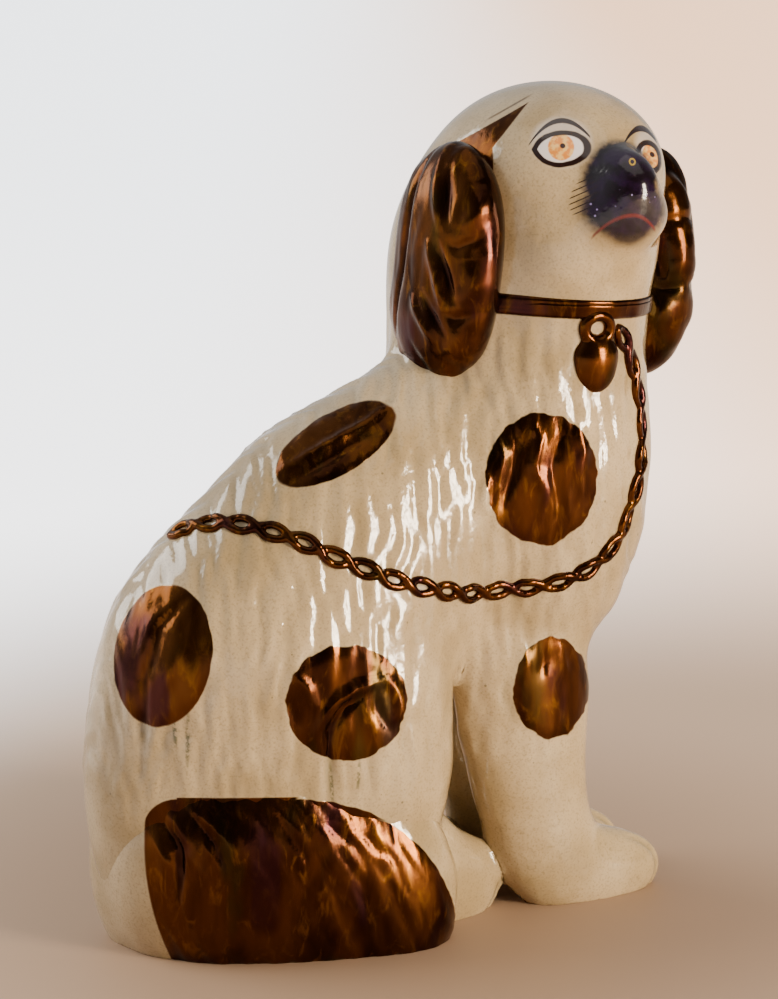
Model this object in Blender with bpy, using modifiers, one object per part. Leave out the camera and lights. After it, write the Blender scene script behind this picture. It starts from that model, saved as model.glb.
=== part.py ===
"""Seated spaniel mantel figure in glazed earthenware, as its separately pressed pieces of clay.

The dog sits facing +X with its right flank towards -Y and its head turned to that side. Each soft form is a
list of clay lumps (stretched spheres) that are blended into one skin. Metres, +Z up, standing on z = 0.
"""
import math

import bmesh
import bpy
import numpy as np
from mathutils import Matrix, Vector
from mathutils.bvhtree import BVHTree

# ---------------------------------------------------------------- driving dimensions, in metres
STATURE = 0.322          # table to crown
LENGTH = 0.252           # chest to rump, along X
BREADTH = 0.104          # flank to flank at the haunches, along Y

WALL = 0.006             # pressed shell
JOINT = 0.0003           # slip joint left between two pieces
BLEND = 0.0055           # softness of the valley where two lumps meet
SKIN = 0.0098            # size of the skin's faces

LEG_RADIUS = 0.0155      # half a foreleg's breadth
LEG_GAP = 0.003          # between the two forelegs
PAW_LENGTH = 0.046
TAIL_THICKNESS = 0.052
EAR_LENGTH = 0.092
EAR_THICKNESS = 0.024

COLLAR_HEIGHT = 0.006
COLLAR_RELIEF = 0.002
COLLAR_SWEEP = math.radians(68)      # to each side of the face, so that it ends inside the ears
COLLAR_SLOPE = 0.09                  # how fast it drops from the right ear to the left
THROAT_RADIUS = 0.042                # from the head's axis to the collar
PADLOCK_HEIGHT = 0.021
PADLOCK_WIDTH = 0.0165
PADLOCK_DEPTH = 0.010
PADLOCK_ANGLE = math.radians(-12)    # round from the middle of the face
SHACKLE_HEIGHT = 0.011
SHACKLE_WIRE = 0.0016
LINK_LENGTH = 0.0128
LINK_WIDTH = 0.0076
LINK_WIRE = 0.0014
STEPS_PER_LINK = 4

SLAB_THICKNESS = 0.006
SLAB_TRIM = 0.0008       # how far the slab stays inside the shells all round
VENT_DIAMETER = 0.010
VENT_PLACE = -38         # on the grid, behind the middle

HEAD_TURN = math.radians(-77.5)      # from +X towards the right flank

# Everything below is laid out on a 322 x 252 x 104 grid, which the three overall sizes stretch.
MM = 0.001
GRID = Vector((LENGTH / 252, BREADTH / 104, STATURE / 322))
HEAD_AXIS = (86, 0)
COLLAR_LEVEL = 239.5     # under the middle of the face
EAR_TOP = 303
CHAIN_STOPS = [
    (96, -41, 232), (103, -38, 222), (108, -34, 210), (111, -33, 194), (110, -36, 179), (106, -38, 164),
    (98, -41, 149), (87, -42, 140), (73, -42, 135), (57, -40, 133), (40, -40, 134), (21, -43, 139),
    (3, -45, 145), (-11, -44, 151), (-23, -40, 157), (-33, -34, 162), (-44, -27, 166), (-53, -19, 168),
    (-62, -8, 166), (-70, 3, 160),
]

# The sizes that the leg, paw and tail lumps are drawn for; the driving sizes stretch them from there.
DRAWN_LEG_RADIUS = 0.0155
DRAWN_PAW_LENGTH = 0.046
DRAWN_TAIL_THICKNESS = 0.052

COLOURS = {
    "cream_glaze": ((0.80, 0.72, 0.58), 0.14, 0.0),
    "copper_lustre": ((0.36, 0.13, 0.04), 0.22, 0.75),
    "bare_clay": ((0.62, 0.53, 0.42), 0.75, 0.0),
}


# ---------------------------------------------------------------- lumps of clay
def lump(x, y, z, rx, ry, rz):
    """A stretched sphere on the grid: its centre, half-sizes and way round."""
    centre = Vector((x * GRID.x, y * GRID.y, z * GRID.z))
    sizes = Vector((rx * GRID.x, ry * GRID.y, rz * GRID.z))
    return centre, sizes, Matrix.Identity(3)


def head_axis(z):
    """The place on the head's upright axis at a height in metres."""
    return Vector((HEAD_AXIS[0] * GRID.x, HEAD_AXIS[1] * GRID.y, z))


def on_head(side, front, z, r_side, r_front, rz):
    """A lump placed from the head's axis: towards the dog's left ear, towards its face, and up."""
    facing = Vector((math.cos(HEAD_TURN), math.sin(HEAD_TURN), 0))
    left = Vector((-facing.y, facing.x, 0))
    centre = head_axis(z * GRID.z) + (left * side + facing * front) * MM
    sizes = Vector((r_front * MM, r_side * MM, rz * GRID.z))
    return centre, sizes, Matrix.Rotation(HEAD_TURN, 3, "Z")


TRUNK = [
    lump(-30, 0, 58, 56, 42, 92),                   # rump
    lump(-62, 6, 66, 42, 31, 82),                   # tail end of the rump
    lump(-28, 0, 112, 62, 43, 64),                  # loin
    lump(4, 0, 144, 62, 41, 60),                    # back
    lump(40, 0, 168, 58, 35, 52),                   # withers
    lump(80, 0, 176, 48, 44, 84),                   # chest
    lump(86, 0, 232, 36, 36, 56),                   # neck
    lump(-2, -26, 76, 34, 22, 60),                  # right thigh
    lump(-2, 26, 76, 34, 22, 60),                   # left thigh
]
HEAD = [
    on_head(4, 0, 288, 42, 43, 34),                 # skull
    on_head(0, 5, 258, 35, 36, 40),                 # lower face
    on_head(0, -17, 252, 57, 36, 58),               # hair at the back of the head
    on_head(-3, -17, 224, 50, 32, 34),              # hair down the nape
    on_head(0, 26, 264, 24, 17, 20),                # cheeks and jaw
    on_head(-1, 42, 288, 12, 17, 14),               # nose
    on_head(2, 40, 276, 18, 17, 13),                # lips
]


def ear_lumps(side):
    """A long flap down the side of the head; side is -1 for the right ear and 1 for the left.

    The left ear was luted on a little further back, further out and lower than the right one.
    """
    thick = EAR_THICKNESS / 2 / MM
    drop = EAR_LENGTH / MM
    back, out, lower = (0, 0, 0) if side < 0 else (5, 9, 9)
    top = EAR_TOP - lower
    return [
        on_head(side * (45 + out), 1 - back, top - 0.27 * drop, thick, 19, 0.27 * drop),
        on_head(side * (47 + out), -back, top - 0.50 * drop, thick, 24, 0.37 * drop),
        on_head(side * (50 + out / 3), -4 - back / 5, top - 0.76 * drop, thick, 20, 0.235 * drop),
    ]


def shrunk(lumps, by):
    """The same lumps with every half-size smaller."""
    smaller = []
    for centre, sizes, turned in lumps:
        smaller.append((centre, Vector((max(size - by, by / 2) for size in sizes)), turned))
    return smaller


def height_above(points, lumps, blend):
    """Signed distance, about true near the skin, from points to the blended lumps."""
    total = np.zeros(len(points))
    for centre, sizes, turned in lumps:
        local = (points - np.array(centre)) @ np.array(turned)
        scaled = local / np.array(sizes)
        first = np.linalg.norm(scaled, axis=1) + 1e-9
        second = np.linalg.norm(scaled / np.array(sizes), axis=1) + 1e-9
        distance = first * (first - 1.0) / second
        total += np.exp(-np.clip(distance, -0.06, 0.12) / blend)
    return -blend * np.log(total + 1e-300)


def settle(mesh, lumps, blend, rounds=6):
    """Moves a mesh's points down the slope of the blended lumps until they lie on the skin."""
    count = len(mesh.vertices)
    flat = np.empty(count * 3)
    mesh.vertices.foreach_get("co", flat)
    points = flat.reshape(count, 3)
    step = 0.0002
    for _ in range(rounds):
        here = height_above(points, lumps, blend)
        slope = np.empty_like(points)
        for axis in range(3):
            nudge = np.zeros(3)
            nudge[axis] = step
            ahead = height_above(points + nudge, lumps, blend)
            behind = height_above(points - nudge, lumps, blend)
            slope[:, axis] = (ahead - behind) / (2 * step)
        steepness = np.maximum((slope ** 2).sum(axis=1), 0.25)
        points = points - slope * (np.clip(here, -0.004, 0.004) / steepness)[:, None]
    mesh.vertices.foreach_set("co", points.ravel())
    mesh.update()


# ---------------------------------------------------------------- shop tools
def fresh_scene():
    for old in list(bpy.data.objects):
        bpy.data.objects.remove(old, do_unlink=True)
    groups = {}
    for name in ("seated_spaniel", "cutters"):
        groups[name] = bpy.data.collections.new(name)
        bpy.context.scene.collection.children.link(groups[name])
    return groups


def finish_material(name):
    """One Principled material per finish."""
    if name in bpy.data.materials:
        return bpy.data.materials[name]
    colour, roughness, metallic = COLOURS[name]
    material = bpy.data.materials.new(name)
    material.use_nodes = True
    shader = material.node_tree.nodes["Principled BSDF"]
    shader.inputs["Base Color"].default_value = (*colour, 1.0)
    shader.inputs["Roughness"].default_value = roughness
    shader.inputs["Metallic"].default_value = metallic
    return material


def new_object(name, mesh, group):
    made = bpy.data.objects.new(name, mesh)
    group.objects.link(made)
    return made


def as_cutter(made):
    made.hide_render = True
    made.display_type = "WIRE"
    return made


def evaluated_copy(made):
    """The object's mesh as its modifiers leave it."""
    graph = bpy.context.evaluated_depsgraph_get()
    return bpy.data.meshes.new_from_object(made.evaluated_get(graph))


def bake(made):
    """Puts the modified mesh in place of the modifiers."""
    mesh = evaluated_copy(made)
    made.modifiers.clear()
    made.data = mesh
    return made


def clay(name, lumps, group, face=SKIN, blend=BLEND):
    """One closed skin round a list of lumps."""
    shape = bmesh.new()
    for centre, sizes, turned in lumps:
        place = Matrix.Translation(centre) @ turned.to_4x4() @ Matrix.Diagonal((*sizes, 1.0))
        bmesh.ops.create_uvsphere(shape, u_segments=24, v_segments=16, radius=1.0, matrix=place)
    mesh = bpy.data.meshes.new(name)
    shape.to_mesh(mesh)
    shape.free()
    made = new_object(name, mesh, group)
    remesh = made.modifiers.new("one_skin", "REMESH")
    remesh.mode = "VOXEL"
    remesh.voxel_size = face
    bake(made)
    settle(made.data, lumps, blend)
    triangulated(made.data)
    return made


def triangulated(mesh):
    """Splits every face, so that a skin and its grown copy bend along the same lines."""
    shape = bmesh.new()
    shape.from_mesh(mesh)
    bmesh.ops.triangulate(shape, faces=shape.faces[:])
    shape.to_mesh(mesh)
    shape.free()


def grown(made, group):
    """The same skin, face for face, moved out by the slip joint; it seats a neighbour on the piece."""
    seat = copy_of(made, made.name + "_seat", group)
    ways_out = [vertex.normal.copy() for vertex in seat.data.vertices]
    for vertex, way_out in zip(seat.data.vertices, ways_out):
        vertex.co += way_out * JOINT
    return as_cutter(seat)


def cut_flat(mesh, height):
    """Cuts a skin off level at a height and closes it with one flat face."""
    shape = bmesh.new()
    shape.from_mesh(mesh)
    everything = shape.verts[:] + shape.edges[:] + shape.faces[:]
    cut = bmesh.ops.bisect_plane(
        shape, geom=everything, dist=1e-6, plane_co=(0, 0, height), plane_no=(0, 0, -1), clear_outer=True)
    rim = [piece for piece in cut["geom_cut"] if isinstance(piece, bmesh.types.BMEdge)]
    bmesh.ops.edgeloop_fill(shape, edges=rim)
    bmesh.ops.triangulate(shape, faces=[face for face in shape.faces if len(face.verts) > 4])
    bmesh.ops.recalc_face_normals(shape, faces=shape.faces[:])
    shape.to_mesh(mesh)
    shape.free()


def boolean(made, other, operation):
    cut = made.modifiers.new(operation.lower(), "BOOLEAN")
    cut.operation = operation
    cut.solver = "EXACT"
    cut.object = other
    return bake(made)


def block(name, low, high, group):
    """A plain box between two corners."""
    shape = bmesh.new()
    middle = (Vector(low) + Vector(high)) / 2
    spans = Vector(high) - Vector(low)
    bmesh.ops.create_cube(shape, size=1.0, matrix=Matrix.Translation(middle) @ Matrix.Diagonal((*spans, 1.0)))
    mesh = bpy.data.meshes.new(name)
    shape.to_mesh(mesh)
    shape.free()
    return as_cutter(new_object(name, mesh, group))


def copy_of(made, name, group):
    return new_object(name, made.data.copy(), group)


def dress(made, finish):
    """Gives a finished piece its material and smooth shading."""
    made.data.materials.clear()
    made.data.materials.append(finish_material(finish))
    for polygon in made.data.polygons:
        polygon.use_smooth = True
    made.data.set_sharp_from_angle(angle=math.radians(40))
    return made


# ---------------------------------------------------------------- the pieces
def body_halves(parts, cutters):
    """The two pressed shells, parted on the dog's middle plane and open underneath."""
    outer = as_cutter(clay("trunk", TRUNK + HEAD, cutters))
    trunk_seat = grown(outer, cutters)
    hollow = as_cutter(clay("hollow", shrunk(TRUNK + HEAD[:3], WALL), cutters, face=SKIN * 1.5))
    shell = as_cutter(copy_of(outer, "shell", cutters))
    cut_flat(shell.data, 0.0)
    boolean(shell, hollow, "DIFFERENCE")
    reach = STATURE * 2
    for name, low, high in (("body_right_half", -reach, -JOINT / 2), ("body_left_half", JOINT / 2, reach)):
        side = block(name + "_side", (-reach, low, -reach), (reach, high, reach), cutters)
        dress(boolean(copy_of(shell, name, parts), side, "INTERSECT"), "cream_glaze")
    return outer, trunk_seat, hollow


def base_slab(parts, cutters, hollow):
    """The slab that closes the shells from below, trimmed to drop in, with its firing vent."""
    slab = copy_of(hollow, "base_slab", parts)
    reach = STATURE * 2
    level = block("slab_level", (-reach, -reach, 0), (reach, reach, SLAB_THICKNESS), cutters)
    boolean(slab, level, "INTERSECT")
    xs = [vertex.co.x for vertex in slab.data.vertices]
    ys = [vertex.co.y for vertex in slab.data.vertices]
    middle = Vector(((min(xs) + max(xs)) / 2, (min(ys) + max(ys)) / 2, 0))
    trim = 1 - 2 * SLAB_TRIM / (max(ys) - min(ys))
    scaled = Matrix.Diagonal((trim, trim, 1, 1))
    slab.data.transform(Matrix.Translation(middle) @ scaled @ Matrix.Translation(-middle))
    shape = bmesh.new()
    bmesh.ops.create_cone(
        shape, cap_ends=True, segments=24, radius1=VENT_DIAMETER / 2, radius2=VENT_DIAMETER / 2,
        depth=SLAB_THICKNESS * 4, matrix=Matrix.Translation((VENT_PLACE * GRID.x, 0, 0)))
    mesh = bpy.data.meshes.new("vent")
    shape.to_mesh(mesh)
    shape.free()
    boolean(slab, as_cutter(new_object("vent", mesh, cutters)), "DIFFERENCE")
    return dress(slab, "bare_clay")


def foreleg(side, parts, trunk_seat):
    """A leg and paw pressed by themselves; side is -1 for the right leg and 1 for the left."""
    stout = LEG_RADIUS / DRAWN_LEG_RADIUS
    reach = PAW_LENGTH / DRAWN_PAW_LENGTH
    out = side * (LEG_RADIUS + LEG_GAP / 2) / GRID.y
    lumps = [
        lump(66, out, 112, 27 * stout, 12 * stout, 30),
        lump(69, out, 84, 27 * stout, 12 * stout, 30),
        lump(70, out, 60, 22 * stout, 12 * stout, 30),
        lump(75, out, 38, 18.5 * stout, 11 * stout, 26),
        lump(81, out, 19, 17 * stout, 11 * stout, 20),
        lump(77 + 27 * reach, out, 8, 27 * reach, 12 * stout, 17),
    ]
    made = clay("right_foreleg" if side < 0 else "left_foreleg", lumps, parts)
    cut_flat(made.data, 0.0)
    return dress(boolean(made, trunk_seat, "DIFFERENCE"), "cream_glaze")


def hind_foot(side, parts, cutters, trunk_seat):
    """The foot that shows ahead of the thigh."""
    lumps = [
        lump(34, side * 14, 11, 26, 12, 21),
        lump(18, side * 17, 24, 21, 13.5, 25),
    ]
    made = clay("right_hind_foot" if side < 0 else "left_hind_foot", lumps, parts)
    foot_seat = grown(made, cutters)
    cut_flat(made.data, 0.0)
    dress(boolean(made, trunk_seat, "DIFFERENCE"), "cream_glaze")
    return foot_seat


def tail_lumps():
    """The brush: from its root at the rump, round the right haunch, to its tip by the hind foot."""
    full = TAIL_THICKNESS / DRAWN_TAIL_THICKNESS
    return [
        lump(-71, 15, 30, 28 * full, 24 * full, 46),
        lump(-71, -4, 38, 26 * full, 20 * full, 45),
        lump(-56, -18, 38, 28 * full, 20 * full, 46),
        lump(-34, -27, 38, 30 * full, 19 * full, 46),
        lump(-10, -31, 30, 31 * full, 18 * full, 43),
        lump(9, -34, 16, 21 * full, 16 * full, 33),
    ]


def tail(parts, seats):
    made = clay("tail", tail_lumps(), parts)
    cut_flat(made.data, 0.0)
    for seat in seats:
        boolean(made, seat, "DIFFERENCE")
    return dress(made, "copper_lustre")


def ear(side, parts, cutters, trunk_seat):
    made = clay("right_ear" if side < 0 else "left_ear", ear_lumps(side), parts, face=SKIN * 0.7)
    ear_seat = grown(made, cutters)
    dress(boolean(made, trunk_seat, "DIFFERENCE"), "copper_lustre")
    return ear_seat


def skin_tree(made):
    shape = bmesh.new()
    shape.from_mesh(made.data)
    tree = BVHTree.FromBMesh(shape)
    shape.free()
    return tree


def on_skin(tree, spot):
    """The nearest point of the skin and the way out of it."""
    place, normal, _, _ = tree.find_nearest(spot)
    return place, normal


def strip_between(name, rows, group):
    """A closed solid lofted through rows of corners that all go the same way round."""
    shape = bmesh.new()
    loops = [[shape.verts.new(corner) for corner in row] for row in rows]
    for first, second in zip(loops, loops[1:]):
        for index in range(len(first)):
            after = (index + 1) % len(first)
            shape.faces.new((first[index], first[after], second[after], second[index]))
    shape.faces.new(loops[0])
    shape.faces.new(reversed(loops[-1]))
    bmesh.ops.recalc_face_normals(shape, faces=shape.faces[:])
    bmesh.ops.triangulate(shape, faces=shape.faces[:])
    mesh = bpy.data.meshes.new(name)
    shape.to_mesh(mesh)
    shape.free()
    return new_object(name, mesh, group)


def throat(tree, angle, below=0.0):
    """The skin's place at the collar's level, or below it, round from the middle of the face."""
    out = Vector((math.cos(HEAD_TURN + angle), math.sin(HEAD_TURN + angle), 0))
    level = COLLAR_LEVEL * GRID.z - THROAT_RADIUS * math.sin(angle) * COLLAR_SLOPE - below
    place, _, _, _ = tree.ray_cast(head_axis(level) + out * STATURE, -out)
    return place, out


def collar(parts, tree, seats):
    """The raised band across the throat, which runs out under each ear."""
    steps = 24
    rows = []
    for step in range(steps + 1):
        place, out = throat(tree, COLLAR_SWEEP * (2 * step / steps - 1))
        inner = place - out * COLLAR_RELIEF * 2
        outer = place + out * COLLAR_RELIEF
        half = Vector((0, 0, COLLAR_HEIGHT / 2))
        rows.append((inner - half, outer - half * 0.7, outer + half * 0.7, inner + half))
    made = strip_between("collar", rows, parts)
    for seat in seats:
        boolean(made, seat, "DIFFERENCE")
    return dress(made, "copper_lustre")


def padlock(parts, tree, seats):
    """A sprig: an oval lock hanging from its shackle under the collar."""
    under_collar = COLLAR_HEIGHT / 2 + JOINT * 2
    facing = Matrix.Rotation(HEAD_TURN + PADLOCK_ANGLE, 3, "Z")
    place, _ = throat(tree, PADLOCK_ANGLE, below=under_collar + SHACKLE_HEIGHT * 0.6 + PADLOCK_HEIGHT / 2)
    lock = (place, Vector((PADLOCK_DEPTH, PADLOCK_WIDTH, PADLOCK_HEIGHT)) / 2, facing)
    made = clay("padlock", [lock], parts, face=PADLOCK_WIDTH / 6)
    middle, _ = throat(tree, PADLOCK_ANGLE, below=under_collar + SHACKLE_HEIGHT / 2)
    bpy.ops.mesh.primitive_torus_add(
        major_segments=16, minor_segments=6, major_radius=SHACKLE_HEIGHT / 2 - SHACKLE_WIRE,
        minor_radius=SHACKLE_WIRE, location=middle)
    ring = bpy.context.object
    ring.rotation_euler = (facing @ Matrix.Rotation(math.pi / 2, 3, "Y")).to_euler()
    boolean(made, as_cutter(ring), "UNION")
    for seat in seats:
        boolean(made, seat, "DIFFERENCE")
    return dress(made, "copper_lustre")


def smooth_route(points, per_span):
    """Points along a curve through the given ones, with uniform Catmull-Rom spans."""
    ends = [points[0] * 2 - points[1]] + points + [points[-1] * 2 - points[-2]]
    route = []
    for index in range(1, len(ends) - 2):
        before, start, finish, after = ends[index - 1:index + 3]
        for step in range(per_span):
            t = step / per_span
            route.append(0.5 * (
                2 * start + (finish - before) * t + (2 * before - 5 * start + 4 * finish - after) * t * t
                + (3 * start - before - 3 * finish + after) * t ** 3))
    return route + [points[-1].copy()]


def chain_route(tree):
    """Evenly spaced places down the chest and back along the flank, each on the skin, with the way out."""
    stops = [Vector((x * GRID.x, y * GRID.y, z * GRID.z)) for x, y, z in CHAIN_STOPS]
    dropped = [on_skin(tree, stop)[0] for stop in stops]
    fine = [on_skin(tree, spot)[0] for spot in smooth_route(dropped, 24)]
    lengths = [0.0]
    for first, second in zip(fine, fine[1:]):
        lengths.append(lengths[-1] + (second - first).length)
    links = max(4, round(lengths[-1] / LINK_LENGTH))
    count = links * STEPS_PER_LINK
    route = []
    for step in range(count + 1):
        target = lengths[-1] * step / count
        index = max(1, next((i for i, run in enumerate(lengths) if run >= target - 1e-9), len(lengths) - 1))
        share = (target - lengths[index - 1]) / max(lengths[index] - lengths[index - 1], 1e-9)
        route.append(on_skin(tree, fine[index - 1].lerp(fine[index], share)))
    return route


def chain_strand(route, hand, group):
    """One of the two strands that cross at the end of every link."""
    curve = bpy.data.curves.new("strand", "CURVE")
    curve.dimensions = "3D"
    curve.bevel_depth = LINK_WIRE
    curve.bevel_resolution = 0
    curve.use_fill_caps = True
    spline = curve.splines.new("POLY")
    spline.points.add(len(route) - 1)
    for index, (place, normal) in enumerate(route):
        before = route[max(index - 1, 0)][0]
        after = route[min(index + 1, len(route) - 1)][0]
        across = (after - before).normalized().cross(normal)
        swing = math.sin(math.pi * (index + 0.5) / STEPS_PER_LINK) * (LINK_WIDTH / 2 - LINK_WIRE)
        spot = place + across * swing * hand
        spline.points[index].co = (*spot, 1.0)
    made = bpy.data.objects.new("strand", curve)
    group.objects.link(made)
    mesh = evaluated_copy(made)
    bpy.data.objects.remove(made)
    shape = bmesh.new()
    shape.from_mesh(mesh)
    bmesh.ops.remove_doubles(shape, verts=shape.verts[:], dist=0.00001)
    bmesh.ops.triangulate(shape, faces=shape.faces[:])
    shape.to_mesh(mesh)
    shape.free()
    return mesh


def chain(parts, cutters, tree, seats):
    """The twisted chain laid in relief from the collar to the spine."""
    route = chain_route(tree)
    made = new_object("chain", chain_strand(route, 1, parts), parts)
    other = as_cutter(new_object("other_strand", chain_strand(route, -1, cutters), cutters))
    boolean(made, other, "UNION")
    for seat in seats:
        boolean(made, seat, "DIFFERENCE")
    return dress(made, "copper_lustre")


def stand_centred(group):
    """Moves every piece together so that the figure stands over the middle of its own footprint."""
    corners = [vertex.co for made in group.objects for vertex in made.data.vertices]
    low = Vector((min(corner[axis] for corner in corners) for axis in range(3)))
    high = Vector((max(corner[axis] for corner in corners) for axis in range(3)))
    shift = Matrix.Translation((-(low.x + high.x) / 2, -(low.y + high.y) / 2, -low.z))
    for made in group.objects:
        made.data.transform(shift)


def build():
    groups = fresh_scene()
    parts, cutters = groups["seated_spaniel"], groups["cutters"]
    outer, trunk_seat, hollow = body_halves(parts, cutters)
    base_slab(parts, cutters, hollow)
    for side in (-1, 1):
        foreleg(side, parts, trunk_seat)
    foot_seats = [hind_foot(side, parts, cutters, trunk_seat) for side in (-1, 1)]
    tail(parts, [trunk_seat] + foot_seats)
    ear_seats = [ear(side, parts, cutters, trunk_seat) for side in (-1, 1)]
    tree = skin_tree(outer)
    collar(parts, tree, [trunk_seat] + ear_seats)
    padlock(parts, tree, [trunk_seat])
    chain(parts, cutters, tree, [trunk_seat])
    stand_centred(parts)


build()
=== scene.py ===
import math
import bmesh
import bpy
import numpy as np
from mathutils import Matrix, Vector


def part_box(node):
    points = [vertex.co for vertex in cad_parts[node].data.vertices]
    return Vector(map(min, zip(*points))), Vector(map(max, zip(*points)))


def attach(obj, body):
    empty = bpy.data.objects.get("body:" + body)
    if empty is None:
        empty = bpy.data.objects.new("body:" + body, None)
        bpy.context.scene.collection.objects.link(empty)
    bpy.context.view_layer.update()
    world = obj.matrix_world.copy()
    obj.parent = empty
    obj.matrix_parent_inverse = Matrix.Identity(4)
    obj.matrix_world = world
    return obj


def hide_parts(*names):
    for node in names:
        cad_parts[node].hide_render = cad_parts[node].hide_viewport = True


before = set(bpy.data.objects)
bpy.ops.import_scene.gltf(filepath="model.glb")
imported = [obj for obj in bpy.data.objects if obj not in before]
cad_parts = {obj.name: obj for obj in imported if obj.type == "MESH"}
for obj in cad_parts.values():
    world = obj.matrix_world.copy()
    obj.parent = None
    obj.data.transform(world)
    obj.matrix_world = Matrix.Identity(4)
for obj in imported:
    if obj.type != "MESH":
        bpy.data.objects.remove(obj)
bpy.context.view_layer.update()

MM = 0.001
MIDDLE_Y = (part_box("body_right_half")[1].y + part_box("body_left_half")[0].y) / 2
RUMP_REACH = 104 * MM  # from the stance back to the end of the rump
STANCE = Vector((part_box("body_left_half")[0].x + RUMP_REACH, MIDDLE_Y, 0.0))  # under the dog's loins


def in_scene(name, data):
    """A new object that holds the mesh, curve, lens or light."""
    made = bpy.data.objects.new(name, data)
    bpy.context.scene.collection.objects.link(made)
    return made


def point_at(thing, place, target):
    thing.location = place
    thing.rotation_euler = (Vector(target) - Vector(place)).to_track_quat("-Z", "Y").to_euler()


def add_camera():
    around, distance, eye_height = math.radians(-25), 1300 * MM, 473 * MM
    eye = STANCE + Vector((math.sin(around) * distance, -math.cos(around) * distance, eye_height))
    lens = bpy.data.cameras.new("camera")
    lens.sensor_width = 36
    lens.lens = 126
    camera = in_scene("camera", lens)
    point_at(camera, eye, STANCE + Vector((19.2 * MM, 0, 165.5 * MM)))
    bpy.context.scene.camera = camera


add_camera()


# ------------------------------------ the trunk, head, legs and feet: one glazed skin
# Two press-moulded earthenware shells with the legs and feet luted on. The slip joints are smoothed over
# before firing and the glaze runs across them, so the finished surface is a single skin.
# Forms are built as a modeller would, from lumps of clay (stretched spheres) that blend into each other.
HEAD_TURN = math.radians(-77.5)  # the head looks back over the right flank
FACING = Vector((math.cos(HEAD_TURN), math.sin(HEAD_TURN), 0))
HEAD_LEFT = Vector((-FACING.y, FACING.x, 0))
HEAD_AXIS = Vector((86, 0, 0))  # where the head's upright axis stands, in mm


def lump(x, y, z, rx, ry, rz):
    """A stretched sphere in mm from the dog's stance: its centre, half-sizes and way round."""
    return Vector((x, y, z)), Vector((rx, ry, rz)), Matrix.Identity(3)


def on_head(side, front, z, r_side, r_front, rz):
    """A lump placed from the head's axis: towards its left ear, towards the face, and up."""
    spot = HEAD_AXIS + HEAD_LEFT * side + FACING * front
    return Vector((spot.x, spot.y, z)), Vector((r_front, r_side, rz)), Matrix.Rotation(HEAD_TURN, 3, "Z")


TRUNK = [
    lump(-30, 0, 58, 56, 42, 92),  # rump
    lump(-62, 6, 66, 42, 31, 82),  # tail end of the rump
    lump(-28, 0, 112, 62, 43, 64),  # loin
    lump(4, 0, 144, 62, 41, 60),  # back
    lump(40, 0, 168, 58, 35, 52),  # withers
    lump(80, 0, 176, 48, 44, 84),  # chest
    lump(86, 0, 232, 36, 36, 56),  # neck
    lump(-2, -26, 76, 34, 22, 60),  # right thigh
    lump(-2, 26, 76, 34, 22, 60),  # left thigh
    on_head(4, 0, 288, 42, 43, 34),  # skull
    on_head(0, 5, 258, 35, 36, 40),  # lower face
    on_head(0, -17, 252, 57, 36, 58),  # hair at the back of the head
    on_head(-3, -17, 224, 50, 32, 34),  # hair down the nape
    on_head(0, 26, 264, 24, 17, 20),  # cheeks and jaw
]
FACE = [
    on_head(-1, 42, 288, 12, 17, 14),  # nose
    on_head(2, 40, 276, 18, 17, 13),  # lips
    on_head(-1, 31, 264, 13, 14, 11),  # chin
]


def foreleg(side):
    out = side * 17
    return [
        lump(66, out, 112, 27, 12, 30),
        lump(69, out, 84, 27, 12, 30),
        lump(70, out, 60, 22, 12, 30),
        lump(75, out, 38, 18.5, 11, 26),
        lump(81, out, 19, 17, 11, 20),
        lump(104, out, 8, 27, 12, 17),
    ]


def hind_foot(side):
    return [
        lump(34, side * 14, 11, 26, 12, 21),
        lump(18, side * 17, 24, 21, 13.5, 25),
    ]


LEAST_WEIGHT = 1e-60  # keeps a spot far from every lump from dividing by 0


def softness(height, blend):
    """How much a lump counts at a spot: more the deeper the spot lies in it."""
    return np.exp(-np.clip(height, -60, 120) / blend)


def height_and_slope(points, lumps, blend):
    """Signed distance in mm from points to blended lumps, with the way out of them."""
    total = np.zeros(len(points))
    slope = np.zeros((len(points), 3))
    for centre, sizes, turned in lumps:
        turn, radii = np.array(turned), np.array(sizes)
        local = ((points - np.array(centre)) @ turn) / radii
        first = np.linalg.norm(local, axis=1) + 1e-9
        second = np.linalg.norm(local / radii, axis=1) + 1e-9
        weight = softness(first * (first - 1.0) / second, blend)
        total += weight
        slope += weight[:, None] * ((local / radii / second[:, None]) @ turn.T)
    total = np.maximum(total, LEAST_WEIGHT)
    return -blend * np.log(total), slope / total[:, None]


def height_of_groups(points, groups, blend):
    """The same for several groups of lumps, each blended within itself first."""
    total = np.zeros(len(points))
    slope = np.zeros((len(points), 3))
    for lumps, inner_blend in groups:
        height, way = height_and_slope(points, lumps, inner_blend)
        weight = softness(height, blend)
        total += weight
        slope += weight[:, None] * way
    total = np.maximum(total, LEAST_WEIGHT)
    return -blend * np.log(total), slope / total[:, None]


def points_of(mesh, what="co"):
    """Every vertex's place, or its normal."""
    flat = np.empty(len(mesh.vertices) * 3)
    mesh.vertices.foreach_get(what, flat)
    return flat.reshape(-1, 3)


def set_points(mesh, points):
    mesh.vertices.foreach_set("co", points.ravel())
    mesh.update()


def to_stance(points):
    """Metres in the frame to millimetres from the dog's stance."""
    return (points - np.array(STANCE)) / MM


def from_stance(points):
    return points * MM + np.array(STANCE)


def closed(shape, name):
    """Turns a bmesh into a mesh."""
    mesh = bpy.data.meshes.new(name)
    shape.to_mesh(mesh)
    shape.free()
    return mesh


def apply_modifiers(piece):
    graph = bpy.context.evaluated_depsgraph_get()
    piece.data = bpy.data.meshes.new_from_object(piece.evaluated_get(graph))
    piece.modifiers.clear()


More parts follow.
